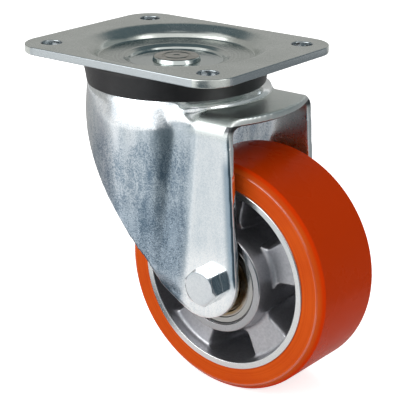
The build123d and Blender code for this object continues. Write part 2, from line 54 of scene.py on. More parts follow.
SHOULDER = -19.3  # z of the crown's edge, where the seal sits and the neck starts
NECK_RADIUS = 47.6
BOSS = (44.6, -109.9)  # x and z of the middle of the leg's round end
BOSS_RADIUS = 22.8
REAR_LEAN = tan(radians(3.6))  # of the leg's rear edge
LEG_INSIDE = 32.0
ROOF_BOW = 8.0  # how far the roof's rear edge bows out between the legs

POCKETS = 5  # on each side of the wheel
WEB_IN, WEB_OUT = 29.1, 46.6
HUB_HALF, RIM_HALF = 30.0, 25.5
TYRE_RADIUS, TYRE_HALF, TYRE_BEVEL = 62.5, 25.0, 3.3
BEARING_IN, BEARING_OUT = 15.0, 29.0  # |y| of a bearing's two faces

SEAT = 36.42  # |y| of the bolt head's and the nut's seats
HEX_FLATS = 18.0
HEX_FACE = 8.6  # radius of the flat round face on a hexagon's tip
HEX_STEPS = 96
THREAD_CREST = 5.98


def direction(azimuth, elevation):
    """Unit vector at an azimuth from -Y towards +X and an elevation, in degrees."""
    azimuth, elevation = radians(azimuth), radians(elevation)
    return (sin(azimuth) * cos(elevation), -cos(azimuth) * cos(elevation), sin(elevation))


# ---- camera ---------------------------------------------------------------------------
def make_camera():
    """The photo's camera, as solved from the plate's corners and holes and the wheel's circles."""
    azimuth, elevation, roll = 38.43, 19.40, radians(0.08)
    to_right, down, distance = 12.38, 82.70, 723.32
    focal_pixels, photo_pixels, sensor = 1372.75, 400.0, 36.0
    back = Vector(direction(azimuth, elevation))
    right = Vector((cos(radians(azimuth)), sin(radians(azimuth)), 0.0))
    up = back.cross(right)
    right, up = right * cos(roll) + up * sin(roll), up * cos(roll) - right * sin(roll)
    centre = right * to_right - up * down + back * distance
    data = bpy.data.cameras.new("camera")
    data.sensor_width = sensor
    data.lens = focal_pixels / photo_pixels * sensor
    data.clip_start = 0.05  # metres
    data.clip_end = 20.0
    camera = bpy.data.objects.new("camera", data)
    turn = Matrix((right, up, back)).transposed().to_4x4()
    camera.matrix_world = Matrix.Translation(centre * MM) @ turn
    bpy.context.scene.collection.objects.link(camera)
    bpy.context.scene.camera = camera


# ---- node trees ------------------------------------------------------------------------
class Nodes:
    """The node tree of a material or a world, with short ways to add to it."""

    def __init__(self, owner):
        owner.use_nodes = True
        self.owner = owner
        self.tree = owner.node_tree

    def add(self, kind, **inputs):
        """A new node with some of its inputs given."""
        node = self.tree.nodes.new(kind)
        for name, value in inputs.items():
            self.put(node, name.replace("_", " "), value)
        return node

    def put(self, node, name, value):
        """Link a socket, or set a plain value, on a node's input given by its name or its index."""
        socket = node.inputs[name]
        if isinstance(value, bpy.types.NodeSocket):
            self.tree.links.new(value, socket)
        else:
            socket.default_value = value

    def set(self, **inputs):
        """Give inputs of the Principled shader."""
        for name, value in inputs.items():
            self.put(self.tree.nodes["Principled BSDF"], name.replace("_", " "), value)

    def place(self):
        return self.add("ShaderNodeTexCoord").outputs["Object"]

    def noise(self, place, scale, detail=3.0, roughness=0.5, distortion=0.0):
        node = self.add("ShaderNodeTexNoise", Vector=place, Scale=scale, Detail=detail,
                        Roughness=roughness, Distortion=distortion)
        return node.outputs["Fac"]

    def stretch(self, place, scale):
        """The place scaled by a number for each axis."""
        return self.add("ShaderNodeMapping", Vector=place, Scale=scale).outputs["Vector"]

    def math(self, kind, a, b=0.0):
        node = self.tree.nodes.new("ShaderNodeMath")
        node.operation = kind
        self.put(node, 0, a)
        self.put(node, 1, b)
        return node.outputs[0]

    def times(self, total, *others):
        for other in others:
            total = self.math("MULTIPLY", total, other)
        return total

    def plus(self, total, *others):
        for other in others:
            total = self.math("ADD", total, other)
        return total

    def minus(self, a, b):
        return self.math("SUBTRACT", a, b)

    def hypot(self, a, b):
        return self.math("SQRT", self.plus(self.times(a, a), self.times(b, b)))

    def remap(self, value, low, high, to_low=0.0, to_high=1.0, smooth=False):
        node = self.add("ShaderNodeMapRange", Value=value, From_Min=low, From_Max=high,
                        To_Min=to_low, To_Max=to_high)
        node.interpolation_type = "SMOOTHSTEP" if smooth else "LINEAR"
        return node.outputs[0]

    def ramp(self, value, low, high, to_low=0.0):
        """A smooth step up to 1 between two places given in millimetres."""
        return self.remap(value, low * MM, high * MM, to_low, 1.0, True)

    def mix(self, share, a, b):
        node = self.tree.nodes.new("ShaderNodeMix")
        node.data_type = "RGBA"
        for index, item in ((0, share), (6, a), (7, b)):  # the node's factor and its two colour inputs
            self.put(node, index, item)
        return node.outputs[2]

    def split(self, place):
        return self.add("ShaderNodeSeparateXYZ", Vector=place).outputs

    def join(self, x, y):
        return self.add("ShaderNodeCombineXYZ", X=x, Y=y).outputs[0]

    def round_axle(self, place):
        """Radius from the axle, and y, of a place, in metres."""
        x, y, z = self.split(place)
        return self.hypot(self.minus(x, AXLE[0] * MM), self.minus(z, AXLE[1] * MM)), y

    def round_swivel(self, place):
        """Radius from the swivel's axis, and z, of a place, in metres."""
        x, y, z = self.split(place)
        return self.hypot(x, y), z

    def bump(self, height, depth, normal=None):
        """A bumpy normal from a height of 0 to 1 over a depth in millimetres."""
        node = self.add("ShaderNodeBump", Height=height, Strength=1.0, Distance=depth * MM)
        if normal is not None:
            self.put(node, "Normal", normal)
        return node.outputs[0]

    def bevel(self, radius):
        """A normal that is rounded over edges."""
        node = self.add("ShaderNodeBevel", Radius=radius * MM)
        node.samples = 6
        return node.outputs[0]

    def rays(self, *kinds):
        """1 for the given kinds of ray, 0 for the others."""
        path = self.tree.nodes.new("ShaderNodeLightPath")
        value = path.outputs[kinds[0]]
        for kind in kinds[1:]:
            value = self.math("MAXIMUM", value, path.outputs[kind])
        return value


def new_material(name):
    return Nodes(bpy.data.materials.new(name))


def rgb(*display):
    """Linear colour from three 0-255 display values, by the sRGB curve."""
    linear = [((c / 255.0 + 0.055) / 1.055) ** 2.4 if c > 10 else c / 255.0 / 12.92 for c in display]
    return (*linear, 1.0)


# ---- materials -------------------------------------------------------------------------
def worn_metal(name, light, dark, roughness, wave, depth, soften):
    """Plain or zinc-plated steel: faint clouds of tint, a slightly uneven skin and fine grain."""
    n = new_material(name)
    place = n.place()
    clouds = n.noise(place, 38.0, 4.0, 0.6)
    mottle = n.noise(place, wave, 3.0, 0.55, 0.6)
    grain = n.noise(place, wave * 6.0, 2.0, 0.5)
    share = n.plus(n.times(clouds, 0.6), n.times(mottle, 0.4))
    n.set(Base_Color=n.mix(n.remap(share, 0.36, 0.64), light, dark), Metallic=1.0,
          Roughness=n.remap(mottle, 0.3, 0.7, roughness * 0.85, roughness * 1.2))
    normal = n.bevel(soften) if soften else None
    n.set(Normal=n.bump(n.plus(mottle, n.times(grain, 0.25)), depth, normal))
    return n.owner


def fork_zinc():
    """Bright zinc over drawn sheet: orange peel where it was stretched, smoother on the flats."""
    n = new_material("fork_zinc")
    place = n.place()
    x, y, z = n.split(place)
    side = n.math("ABSOLUTE", y)

    # The drawn skirt, in front of the line where it runs out into the flat cheek, and its darker lower part.
    cheek_line = n.plus(n.times(z, 0.0917), 45.6 * MM)
    drawn = n.times(n.ramp(n.minus(x, cheek_line), 2.0, -6.0), n.ramp(z, -34.0, -46.0, 0.25))
    low = n.times(drawn, n.ramp(z, -58.0, -92.0))
    # The roof behind the neck, the faces that look in at the wheel, and the cut along the roof's bowed edge;
    # the tones below darken all three as painted shade.
    roof = n.times(n.ramp(z, -36.0, -32.0), n.ramp(x, 34.0, 46.0), n.ramp(z, -21.6, -23.4))
    inner = n.times(n.ramp(side, LEG_INSIDE + 0.4, LEG_INSIDE - 0.1), n.ramp(z, -27.6, -28.4))
    bow = n.times(y, n.times(y, ROOF_BOW / LEG_INSIDE ** 2 / MM))
    brow_shade = n.times(n.ramp(n.plus(x, bow), 68.9, 69.8), n.ramp(z, -26.8, -27.3), n.ramp(z, -32.0, -29.0))
    # A strip along the leg's rear edge, on the outer face only, tinted blue-grey as a painted reflection of
    # the rolled edge.
    rear_at_top = BOSS[0] + BOSS_RADIUS + BOSS[1] * REAR_LEAN
    to_rear = n.minus(rear_at_top * MM, n.plus(x, n.times(z, REAR_LEAN)))
    rear_edge_reflection = n.times(n.ramp(to_rear, 6.5, 2.5), n.ramp(z, -116.0, -104.0), n.ramp(z, -40.0, -50.0),
                     n.math("GREATER_THAN", side, 35.6 * MM))

    clouds = n.noise(place, 42.0, 5.0, 0.62, 0.5)
    streaks = n.noise(n.stretch(place, (1.0, 1.0, 0.3)), 210.0, 4.0, 0.62, 0.4)
    peel = n.noise(place, 760.0, 3.0, 0.6, 0.5)
    fine = n.noise(place, 2400.0, 2.0, 0.5)
    speck = n.noise(place, 1300.0, 3.0, 0.7)
    tint = n.plus(n.times(clouds, 0.24), n.times(streaks, 0.28), n.times(speck, 0.48))
    # The lighter tones of the flat leg behind the cheek's line are a painted reflection.
    bright = n.mix(low, n.mix(drawn, rgb(247, 249, 249), rgb(224, 230, 234)), rgb(184, 197, 208))
    dull = n.mix(low, n.mix(drawn, rgb(228, 234, 237), rgb(132, 151, 166)), rgb(98, 118, 134))
    tone = n.mix(n.remap(tint, 0.42, 0.56), dull, bright)
    # Painted shade: darker tones on the roof, on the faces that look in at the wheel and on the brow.
    tone = n.mix(n.times(roof, 0.6), tone, rgb(200, 208, 203))
    tone = n.mix(n.times(inner, 0.85), tone, rgb(186, 188, 186))
    tone = n.mix(brow_shade, tone, rgb(70, 72, 74))
    # Painted reflection: the rear-edge strip turns blue-grey.
    tone = n.mix(n.times(rear_edge_reflection, 0.8), tone, rgb(140, 160, 174))
    rough = n.plus(n.remap(peel, 0.3, 0.7, 0.12, 0.17), n.times(drawn, 0.04), n.times(roof, 0.16),
                   n.times(inner, 0.14))
    n.set(Base_Color=tone, Metallic=1.0, Roughness=rough)
    depth = n.times(n.remap(streaks, 0.3, 0.6, 0.4, 1.0), n.remap(drawn, 0.0, 1.0, 0.07, 1.0),
                    n.remap(inner, 0.0, 1.0, 1.0, 0.3))
    n.set(Normal=n.bump(n.times(n.plus(peel, n.times(fine, 0.25)), depth), 0.085))
    return n.owner


def plate_zinc():
    """Satin zinc on the plate, ringed in the dish, brighter round the punched holes, dull on the rivet."""
    n = new_material("plate_zinc")
    place = n.place()
    x, y = n.split(place)[:2]
    radius, height = n.round_swivel(place)
    clouds = n.noise(place, 30.0, 5.0, 0.62)
    grain = n.noise(n.stretch(place, (0.12, 1.0, 1.0)), 1300.0, 3.0, 0.6)
    mottle = n.noise(place, 480.0, 3.0, 0.5)
    rings = n.noise(n.join(radius, n.times(height, 0.5)), 900.0, 3.0, 0.6)
    wear = n.noise(place, 240.0, 4.0, 0.65, 0.6)

    share = n.plus(n.times(clouds, 0.7), n.times(grain, 0.3))
    flat = n.mix(n.remap(share, 0.38, 0.62), rgb(214, 218, 214), rgb(197, 202, 197))
    dish = n.ramp(radius, 47.0, 40.0)
    tone = n.mix(n.times(dish, n.remap(rings, 0.42, 0.60, 0.25, 0.9)), flat, rgb(184, 189, 184))
    polished = n.ramp(radius, 27.0, 24.0)  # the dish's inner step and floor
    tone = n.mix(polished, tone, rgb(196, 203, 201))
    head = n.times(n.math("LESS_THAN", radius, 12.0 * MM), n.math("GREATER_THAN", height, -7.3 * MM))
    tone = n.mix(head, tone, n.mix(n.remap(wear, 0.4, 0.6), rgb(150, 147, 138), rgb(174, 172, 164)))

    # Sheared metal: the holes' walls and the plate's outer edges.
    ax, ay = n.math("ABSOLUTE", x), n.math("ABSOLUTE", y)
    gap = n.hypot(n.minus(ax, HOLE_AT[0] * MM), n.minus(ay, HOLE_AT[1] * MM))
    punched = n.ramp(gap, HOLE_RADIUS + 0.8, HOLE_RADIUS + 0.4)
    outside = n.math("MAXIMUM", n.math("GREATER_THAN", ax, (PLATE_HALF[0] - 0.4) * MM),
                     n.math("GREATER_THAN", ay, (PLATE_HALF[1] - 0.4) * MM))
    sheared = n.math("MAXIMUM", punched, outside)
    rough = n.plus(n.remap(mottle, 0.3, 0.7, 0.20, 0.28), n.times(dish, -0.04), n.times(polished, -0.09),
                   n.times(sheared, -0.06))
    n.set(Base_Color=n.mix(sheared, tone, rgb(182, 189, 192)), Metallic=1.0, Roughness=rough)
    height = n.plus(n.times(grain, 0.4), mottle, n.times(rings, dish, 1.6), n.times(wear, sheared, 2.5))
    n.set(Normal=n.bump(height, 0.016))
    return n.owner


def bearing_steel():
    """Ground bearing steel, with a painted amber reflection in patches near the shield's middle."""
    n = new_material("bearing_steel")
    place = n.place()
    radius, along = n.round_axle(place)
    rings = n.noise(n.join(radius, along), 5200.0, 2.0)
    amber_reflection = n.remap(n.noise(place, 160.0, 3.0), 0.35, 0.65)
    # Painted reflection: an amber tone in patches towards the shield's middle.
    share = n.times(n.ramp(radius, 20.5, 18.6), n.plus(n.times(amber_reflection, 0.4), 0.6))
    n.set(Base_Color=n.mix(share, rgb(172, 171, 168), rgb(134, 110, 74)), Metallic=1.0,
          Roughness=n.remap(rings, 0.3, 0.7, 0.16, 0.26), Normal=n.bump(rings, 0.003))
    return n.owner


def seal_black():
    """Black rubber with a little dust."""
    n = new_material("seal_black")
    place = n.place()
    mottle = n.noise(place, 900.0, 3.0)
    dust = n.noise(place, 60.0, 4.0, 0.65)
    n.set(Base_Color=n.mix(n.remap(dust, 0.4, 0.75), rgb(20, 19, 20), rgb(34, 32, 33)),
          Roughness=n.remap(mottle, 0.3, 0.7, 0.3, 0.42), Normal=n.bump(mottle, 0.02))
    return n.owner


def insert_nylon():
    """Off-white nylon of the nut's ring."""
    n = new_material("insert_nylon")
    mottle = n.noise(n.place(), 700.0, 3.0)
    n.set(Base_Color=n.mix(mottle, rgb(226, 224, 212), rgb(206, 202, 188)),
          Roughness=n.remap(mottle, 0.3, 0.7, 0.4, 0.55), Normal=n.bump(mottle, 0.02))
    return n.owner


def wheel_aluminium():
    """Die-cast skin in the web, fine turning rings on the rim's and hub's faces."""
    n = new_material("wheel_aluminium")
    place = n.place()
    radius, along = n.round_axle(place)
    side = n.math("ABSOLUTE", along)
    cast = n.noise(place, 700.0, 3.0, 0.6)
    clouds = n.noise(place, 60.0, 3.0)
    rings = n.noise(n.join(radius, n.times(along, 0.3)), 4200.0, 2.0)
    rim_face = n.times(n.math("GREATER_THAN", radius, (WEB_OUT - 0.8) * MM),
                       n.math("GREATER_THAN", side, (RIM_HALF - 0.6) * MM))
    hub_face = n.times(n.math("LESS_THAN", radius, (WEB_IN - 0.9) * MM),
                       n.math("GREATER_THAN", side, (HUB_HALF - 0.5) * MM))
    turned_face = n.math("MAXIMUM", rim_face, hub_face)
    share = n.remap(n.plus(n.times(cast, 0.6), n.times(clouds, 0.4)), 0.38, 0.62)
    base = n.mix(share, rgb(190, 190, 193), rgb(172, 172, 176))
    bright = n.mix(hub_face, rgb(224, 225, 224), rgb(172, 172, 174))
    n.set(Base_Color=n.mix(turned_face, base, bright), Metallic=1.0,
          Roughness=n.minus(n.remap(cast, 0.3, 0.7, 0.34, 0.44), n.times(turned_face, 0.16)))
    height = n.plus(n.times(cast, n.minus(1.0, turned_face)), n.times(rings, turned_face, 0.35))
    n.set(Normal=n.bump(height, 0.008))
    return n.owner


def tyre_polyurethane():
    """Cast polyurethane: satin, deeper on the tread, a deeper red along the bevel's outer edge as painted
    shade, glossy along the bevel's inner edge.
    """
    n = new_material("tyre_polyurethane")
    place = n.place()
    radius, along = n.round_axle(place)
    side = n.math("ABSOLUTE", along)
    clouds = n.remap(n.noise(place, 34.0, 4.0, 0.6), 0.35, 0.65)
    fine = n.noise(place, 1100.0, 3.0)
    rings = n.noise(n.join(radius, n.times(along, 0.4)), 900.0, 2.0)
    face = n.mix(clouds, rgb(218, 91, 28), rgb(209, 81, 24))
    face = n.mix(n.times(n.remap(rings, 0.35, 0.65), 0.35), face, rgb(184, 52, 1))
    tread = n.ramp(side, 24.0, 21.5)
    # Painted shade: the bevel's outer edge, where it mirrors dark, is a deeper red.
    bevel_edge_shade = n.times(n.ramp(radius, 60.6, 62.0), n.ramp(side, 20.6, 21.6))
    inner_edge = n.times(n.ramp(radius, 58.5, 58.9), n.ramp(radius, 59.9, 59.5))
    tone = n.mix(bevel_edge_shade, n.mix(tread, face, rgb(194, 55, 0)), rgb(214, 56, 0))
    n.set(Base_Color=tone, Specular_IOR_Level=0.03, Coat_Weight=inner_edge, Coat_Roughness=0.1, Coat_IOR=1.9,
          Roughness=n.remap(clouds, 0.0, 1.0, 0.24, 0.32))
    n.set(Normal=n.bump(n.plus(fine, n.times(rings, 0.6)), 0.010))
    return n.owner


def make_materials():
    """Every material, by the name of its slot."""
    slots = {"plate_zinc": plate_zinc(), "fork_zinc": fork_zinc(), "bearing_steel": bearing_steel(),
             "seal_black": seal_black(), "insert_nylon": insert_nylon(), "wheel_aluminium": wheel_aluminium(),
             "tyre_polyurethane": tyre_polyurethane()}
    for name, light, dark, *skin in (  # then roughness, noise scale, bump depth and bevel radius
            ("bolt_zinc", (224, 228, 230), (208, 214, 218), 0.15, 900.0, 0.006, 0.2),
            ("race_steel", (190, 192, 190), (165, 168, 166), 0.34, 700.0, 0.020, 0.4),
            ("tube_steel", (190, 194, 196), (165, 170, 172), 0.30, 800.0, 0.012, 0.15),
            ("ball_steel", (215, 215, 216), (205, 205, 207), 0.10, 500.0, 0.002, 0.0),
            ("cage_steel", (190, 186, 180), (165, 160, 152), 0.32, 900.0, 0.012, 0.2)):
        slots[name] = worn_metal(name, rgb(*light), rgb(*dark), *skin)
    return slots


# ---- mesh helpers ------------------------------------------------------------------------
def rounded(points, radii, steps=5, closed=True):
    """The (x, y) line with its corners replaced by arcs; corners past the end of radii stay sharp."""
    count = len(points)
    line = []
    for k, corner in enumerate(points):
        radius = radii[k] if k < len(radii) else 0.0
        if radius <= 0.0 or (not closed and k in (0, count - 1)):
            line.append(tuple(corner))
            continue
        here = Vector(corner)
        arrive = (here - Vector(points[k - 1])).normalized()
        leave = (Vector(points[(k + 1) % count]) - here).normalized()
        bend = acos(max(-1.0, min(1.0, arrive.dot(leave))))
        if bend < 1e-3:
            line.append(tuple(corner))
            continue
        start = here - arrive * radius * tan(bend / 2)
        side = 1.0 if arrive.x * leave.y - arrive.y * leave.x > 0 else -1.0
        normal = Vector((-arrive.y, arrive.x)) * side
        pivot = start + normal * radius
        arm = -normal * radius
        parts = max(2, ceil(steps * bend / (pi / 2)))
        for i in range(parts + 1):
            turn = side * bend * i / parts
            line.append((pivot.x + arm.x * cos(turn) - arm.y * sin(turn),
                         pivot.y + arm.x * sin(turn) + arm.y * cos(turn)))
    return line


def parallel(points, distance):
    """The open (x, y) line moved sideways by a distance."""
    normals = []
    for (x0, y0), (x1, y1) in zip(points, points[1:]):
        run = hypot(x1 - x0, y1 - y0)
        normals.append(((y0 - y1) / run, (x1 - x0) / run))
    moved = []
    for (x, y), a, b in zip(points, normals[:1] + normals, normals + normals[-1:]):
        scale = distance / (1 + a[0] * b[0] + a[1] * b[1])
        moved.append((x + (a[0] + b[0]) * scale, y + (a[1] + b[1]) * scale))
    return moved


def mirrored(line, side):
    """The (radius, height) line on one side, -1 or 1, of the middle plane."""
    return [(radius, side * height) for radius, height in line]


def mesh_object(name, verts, faces, smooth=True):
    """An object in the scene, with its points given in millimetres."""
    mesh = bpy.data.meshes.new(name)
    mesh.from_pydata([Vector(v) * MM for v in verts], [], faces)
    mesh.validate()
    for polygon in mesh.polygons:
        polygon.use_smooth = smooth
    piece = bpy.data.objects.new(name, mesh)
    bpy.context.scene.collection.objects.link(piece)
    return piece


def close_up(piece, angle):
    """Weld a mesh, turn its faces outwards, and shade flat faces flat beside their small roundings."""
    work = bmesh.new()
    work.from_mesh(piece.data)
    bmesh.ops.remove_doubles(work, verts=work.verts, dist=1e-7)
    bmesh.ops.recalc_face_normals(work, faces=work.faces)
    work.to_mesh(piece.data)
    work.free()
    piece.data.set_sharp_from_angle(angle=radians(angle))
    weighted = piece.modifiers.new("weighted", "WEIGHTED_NORMAL")
    weighted.mode = "FACE_AREA"
    weighted.weight = 60
    weighted.keep_sharp = True


def grid_faces(rows, columns, wrap_rows=False):
    """Quads of a rows x columns grid that is closed round its columns."""
    faces = []
    for i in range(rows if wrap_rows else rows - 1):
        a, b = i * columns, (i + 1) % rows * columns
        for k in range(columns):
            n = (k + 1) % columns
            faces.append((a + k, a + n, b + n, b + k))
    return faces


def on_swivel(radius, angle, height):
    """Point round the swivel's axis."""
    return (radius * cos(angle), radius * sin(angle), height)


def on_axle(radius, angle, along):
    """Point round the axle."""
    return (AXLE[0] + radius * cos(angle), along, AXLE[1] + radius * sin(angle))


def row_points(rows, place=on_axle):
    """Points of rows of (radius, height) pairs, each row spread evenly round the axle or the swivel."""
    return [place(radius, 2 * pi * k / len(row), height)
            for row in rows for k, (radius, height) in enumerate(row)]


def turned(name, line, place, segments=160, angle=38.0):
    """Ring or disc made by turning a closed (radius, height) line about the swivel or the axle."""
    rows = [[point] * segments for point in line]
    piece = mesh_object(name, row_points(rows, place), grid_faces(len(rows), segments, True))
    close_up(piece, angle)
    return piece


def finish_piece(piece, body, slot, slots, *nodes):
    """Give a piece the material of its slot, attach it to its body's empty, and hide the CAD nodes it stands
    for.
    """
    piece.data.materials.clear()
    piece.data.materials.append(slots[slot])
    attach(piece, body)
    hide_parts(*nodes)


# ---- top plate, king pin and seal ----------------------------------------------------------
def plate_outline(inset, height):
    """Rounded rectangle of the plate drawn in by a distance, as a loop of points."""
    steps = 24
    radius = PLATE_CORNER - inset
    x, y = PLATE_HALF[0] - PLATE_CORNER, PLATE_HALF[1] - PLATE_CORNER
    loop = []
    for quarter, (sx, sy) in enumerate(((1, 1), (-1, 1), (-1, -1), (1, -1))):
        for i in range(steps + 1):
            angle = pi / 2 * (quarter + i / steps)
            loop.append((sx * x + radius * cos(angle), sy * y + radius * sin(angle), height))
    return loop


def circle_loop(x, y, radius, height, count):
    """Points of a level circle."""
    return [(x + radius * cos(2 * pi * k / count), y + radius * sin(2 * pi * k / count), height)
            for k in range(count)]


def edge_roll(radius, thickness, steps=4):
    """(inset, height) steps down a rounded sheet edge, from the top face to the under face."""
    rolls = []
    for i in range(steps + 1):
        a = pi / 2 * i / steps
        rolls.append((radius * (1 - sin(a)), -radius * (1 - cos(a))))
    return rolls + [(inset, -thickness - height) for inset, height in reversed(rolls)]


def top_plate(slots):
    """Pressed plate with a dish and four holes, its flats filled between the dish, the holes and the rim."""
    dish_steps, hole_steps = 160, 48
    inner, outer = 3.0, 3.0 + PLATE_SHEET  # bend radii on the hollow and on the full side of the sheet
    # The upper face falls more steeply towards the foot of the slope than the CAD's, as in the photo.
    upper = [DISH[0], (49.4, 0.0), (43.2, -3.6), (41.5, -6.5), DISH[3], (25.7, -7.7), (24.8, -9.0), DISH[5]]
    upper = rounded(upper, [0, 9.0, 6.0, 1.0, 3.0, 1.2, 0.6, 0], 12, closed=False)
    under = rounded(parallel(DISH, PLATE_SHEET), [0, inner, outer, inner, outer, 0], 8, closed=False)
    roll = edge_roll(0.5, PLATE_SHEET)
    verts, faces = [], []
    tops, unders = [], []

    def add_rows(rows):
        """Add a closed strip of loops, and note its first and its last loop."""
        start, columns = len(verts), len(rows[0])
        end = start + len(rows) * columns
        for row in rows:
            verts.extend(row)
        faces.extend(tuple(start + v for v in face) for face in grid_faces(len(rows), columns))
        tops.append(range(start, start + columns))
        unders.append(range(end - columns, end))

    add_rows([circle_loop(0, 0, r, z, dish_steps) for r, z in upper + under[::-1]])
    add_rows([plate_outline(inset, z) for inset, z in roll])
    for x in (-HOLE_AT[0], HOLE_AT[0]):
        for y in (-HOLE_AT[1], HOLE_AT[1]):
            add_rows([circle_loop(x, y, HOLE_RADIUS + inset, z, hole_steps) for inset, z in roll])
    piece = mesh_object("mounting_plate", verts, faces)
    work = bmesh.new()
    work.from_mesh(piece.data)
    work.verts.ensure_lookup_table()
    for loops in (tops, unders):
        edges = [work.edges.get((work.verts[a], work.verts[b]))
                 for loop in loops for a, b in zip(loop, [*loop[1:], loop[0]])]
        bmesh.ops.triangle_fill(work, use_beauty=True, edges=edges)
    for face in work.faces:
        face.smooth = True
    work.to_mesh(piece.data)
    work.free()
    close_up(piece, 50.0)
    finish_piece(piece, "plate", "plate_zinc", slots, "top_plate")


def king_pin(slots):
    """Rivet: a flat head with a turned ring and a small centre dimple, peened below."""
    line = [(0.0, -6.75), (1.6, -6.75), (2.2, -6.45), (6.2, -6.4), (6.7, -6.7), (7.3, -6.7), (7.8, -6.4),
            (12.1, -6.5), (12.9, -8.98), (8.0, -8.98), (8.0, -16.25), (10.3, -16.25),
            (10.3, -19.2), (8.8, -20.75), (0.0, -20.75)]
    radii = [0, 0.4, 0.5, 0.3, 0.2, 0.2, 0.3, 0.9, 0.2, 0, 0, 0.2, 1.2, 1.0, 0]
    piece = turned("rivet_head", rounded(line, radii), on_swivel, 128)
    finish_piece(piece, "plate", "plate_zinc", slots, "king_pin")


def dust_seal(slots):
    """Rubber ring with a soft waist and a flared lip, its top parallel to the dish's sloping underside."""
    crown, inside, lip = -16.9, 44.0, 49.5
    on_metal, below_plate = 0.02, 0.35  # gaps to the crown and to the plate
    (r0, z0), (r1, z1) = parallel(DISH, PLATE_SHEET)[1:3]
    slope = (z1 - z0) / (r1 - r0)

    def below(radius):
        return z0 + slope * (radius - r0) - below_plate * hypot(1, slope)

    line = [(NECK_RADIUS, SHOULDER + on_metal * sqrt(2)), (48.4, SHOULDER + 5.3), (lip, SHOULDER + 11.3),
            (lip, below(lip)), (inside, below(inside)),
            (inside, crown + on_metal), (45.2, crown + on_metal * sqrt(2))]
    piece = turned("swivel_seal", rounded(line, [0.3, 6.0, 1.2, 0.6, 0.4], 4), on_swivel)
    finish_piece(piece, "fork", "seal_black", slots, "dust_seal")


# ---- fork ---------------------------------------------------------------------------------
def voxel_copy(name, source, voxel):
    """A welded copy of a CAD mesh, remeshed into small even quads."""
    piece = bpy.data.objects.new(name, source.data.copy())
    bpy.context.scene.collection.objects.link(piece)
    work = bmesh.new()
    work.from_mesh(piece.data)
    bmesh.ops.remove_doubles(work, verts=work.verts, dist=1e-6)
    work.to_mesh(piece.data)
    work.free()
    remesh = piece.modifiers.new("remesh", "REMESH")
    remesh.mode = "VOXEL"
    remesh.voxel_size = voxel * MM
    bpy.context.view_layer.update()
    depsgraph = bpy.context.evaluated_depsgraph_get()
    mesh = bpy.data.meshes.new_from_object(piece.evaluated_get(depsgraph))
    piece.modifiers.clear()
    piece.data = mesh
    return piece


def near_line(points, x, z):
    """Distance of each (x, z) from an open line of points."""
    best = np.full(x.shape, 1e9)
    for (x0, z0), (x1, z1) in zip(points, points[1:]):
        dx, dz = x1 - x0, z1 - z0
        t = np.clip(((x - x0) * dx + (z - z0) * dz) / (dx * dx + dz * dz), 0.0, 1.0)
        best = np.minimum(best, np.hypot(x - x0 - t * dx, z - z0 - t * dz))
    return best


def climb(value, start, length):
    """From 0 at the start to 1 after the length."""
    return np.clip((value - start) / length, 0.0, 1.0)


def fork_edge():
    """The sheet's cut edge seen from the side: down the slanted cut, round the boss and up the rear edge."""
    slant_height, slant_slope, chin, corner_x, rear_height = 67.7, 1.264, radians(30), 17.3, 77.0
    slant_foot = (16.0, -107.7)
    slant_head = (slant_foot[0] - slant_height / slant_slope, slant_foot[1] + slant_height)
    skirt_front = (slant_head[0] - 40.0, slant_head[1] + 8.5)
    boss_start = (BOSS[0] - BOSS_RADIUS * sin(chin), BOSS[1] - BOSS_RADIUS * cos(chin))
    corner = (corner_x, boss_start[1] + (boss_start[0] - corner_x) * tan(chin))
    arc = [(BOSS[0] + BOSS_RADIUS * cos(radians(t)), BOSS[1] + BOSS_RADIUS * sin(radians(t)))
           for t in range(-120, 5, 6)]
    rear_top = (arc[-1][0] - rear_height * REAR_LEAN, arc[-1][1] + rear_height)
    return [skirt_front, slant_head, slant_foot, corner] + arc + [rear_top]


def smoothing_share(x, y, z):
    """How freely each point moves in smoothing: held at edges and seats, half-held on the neck, else free."""
    held, neck_share = 0.02, 0.16
    roof_z, crown_z, seat_radius, bolt_hole = -36.0, -31.0, 44.0, 8.5
    edge = fork_edge()
    away = near_line(edge, x, z)
    roof_edge = edge[-1][0] + ROOF_BOW * (1.0 - (y / LEG_INSIDE) ** 2)
    away = np.where(z > roof_z, np.minimum(away, np.abs(x - roof_edge)), away)
    share = held + (1.0 - held) * climb(away, 1.5, 5.0)
    radius = np.hypot(x, y)
    inside = radius < seat_radius
    share = np.where(inside & (z > crown_z), held, share)
    neck = climb(x, 24.0, 14.0) * climb(z, -38.0, 5.0) * climb(-radius, -68.0, 6.0)
    share = np.where(inside, share, share + neck * (np.minimum(share, neck_share) - share))
    return np.where(np.hypot(x - AXLE[0], z - AXLE[1]) < bolt_hole, held, share)


def swell_neck(co):
    """Round the neck's straight cone out a little at mid height, behind the crown."""
    height, cone, swell, from_x = 4.2, 3.1, 1.1, 30.0
    radius = np.hypot(co[:, 0], co[:, 1])
    down = (SHOULDER - co[:, 2]) / height
    on_cone = (np.abs(radius - NECK_RADIUS - cone * down) < 1.2) & (down > 0.0) & (down < 1.0)
    grown = np.where(on_cone, swell * np.sin(pi * down), 0.0) * climb(co[:, 0], from_x, 6.0)
    co[:, :2] *= (1.0 + grown / radius)[:, None]


